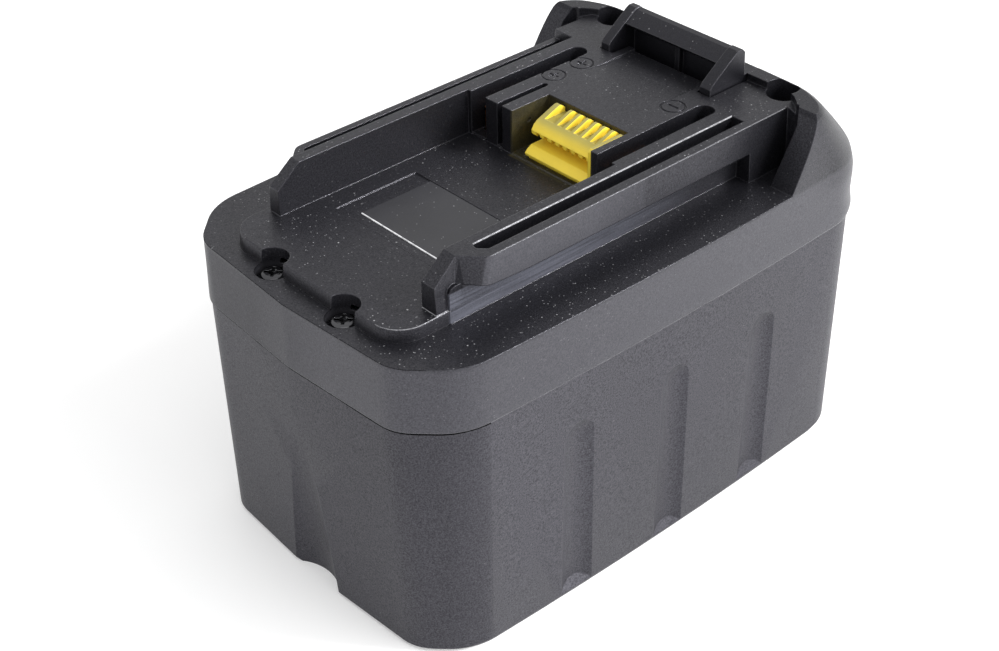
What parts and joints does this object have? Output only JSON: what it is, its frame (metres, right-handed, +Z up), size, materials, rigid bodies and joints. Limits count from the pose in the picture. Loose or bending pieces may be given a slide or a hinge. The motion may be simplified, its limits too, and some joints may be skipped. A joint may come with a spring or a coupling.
{
  "type": "slide-on battery pack",
  "caption": "Slide-on tool battery: drafted tub, railed lid with contact slots and yellow signal connector, sprung release latch, upright cells inside.",
  "frame": {"origin": "middle of the footprint, on the underside of the lower case", "axes": "+X from the end that meets the tool first towards the latch end, +Y to the long side with the charge contact, +Z up"},
  "size_m": [0.1354, 0.0824, 0.0927],
  "materials": {
    "case_plastic": "fine spark texture, dark charcoal grey",
    "lid_plastic": "fine spark texture, black, slightly glossier on edges",
    "latch_plastic": "fine texture, black",
    "label_film": "dark satin film, blank",
    "yellow_plastic": "moulded yellow, satin",
    "black_screw": "black oxide, glossy",
    "bright_screw": "zinc plated",
    "contact_metal": "copper alloy",
    "bus_copper": "copper alloy strip",
    "spring_steel": "spring wire",
    "inner_plastic": "moulded, plain",
    "board_laminate": "solder mask, satin",
    "chip_plastic": "moulded epoxy",
    "fuse_body": "pale moulding",
    "thermistor_bead": "epoxy bead",
    "cell_sleeve": "shrink sleeve over a metal can",
    "ring_paper": "insulating paper",
    "nickel_strip": "nickel strip",
    "insulating_sheet": "fish paper sheet",
    "flex_film": "amber film",
    "foam": "open cell foam"
  },
  "bodies": {
    "pack": {"blank_label": "label_film", "board_chips": "chip_plastic", "board_screws": "bright_screw", "bracket_screws": "bright_screw", "bus_bar_negative": "bus_copper", "bus_bar_positive": "bus_copper", "case_screws_front": "black_screw", "case_screws_rear": "black_screw", "cell_holder_lower": "inner_plastic", "cell_holder_upper": "inner_plastic", "cell_insulator_rings": "ring_paper", "cells_left_row": "cell_sleeve", "cells_middle_row": "cell_sleeve", "cells_right_row": "cell_sleeve", "control_board": "board_laminate", "foam_pads": "foam", "fuse": "fuse_body", "insulator_bottom": "insulating_sheet", "insulator_top": "insulating_sheet", "latch_bracket": "inner_plastic", "latch_spring_left": "spring_steel", "latch_spring_right": "spring_steel", "lower_case": "case_plastic", "power_transistors": "chip_plastic", "sense_flex": "flex_film", "signal_connector": "yellow_plastic", "signal_pins": "contact_metal", "straps_bottom": "nickel_strip", "straps_top": "nickel_strip", "terminal_charge": "contact_metal", "terminal_negative": "contact_metal", "terminal_positive": "contact_metal", "thermistor": "thermistor_bead", "upper_case": "lid_plastic"},
    "latch": {"release_latch": "latch_plastic"}
  },
  "joints": [
    {"name": "latch_press", "type": "slide", "parent": "pack", "child": "latch", "axis": [0, 0, 1], "range_m": [-0.0065, 0], "stiffness_N_per_m": 1400, "springref_m": 0.004, "deforming": ["latch_spring_left", "latch_spring_right"]}
  ]
}
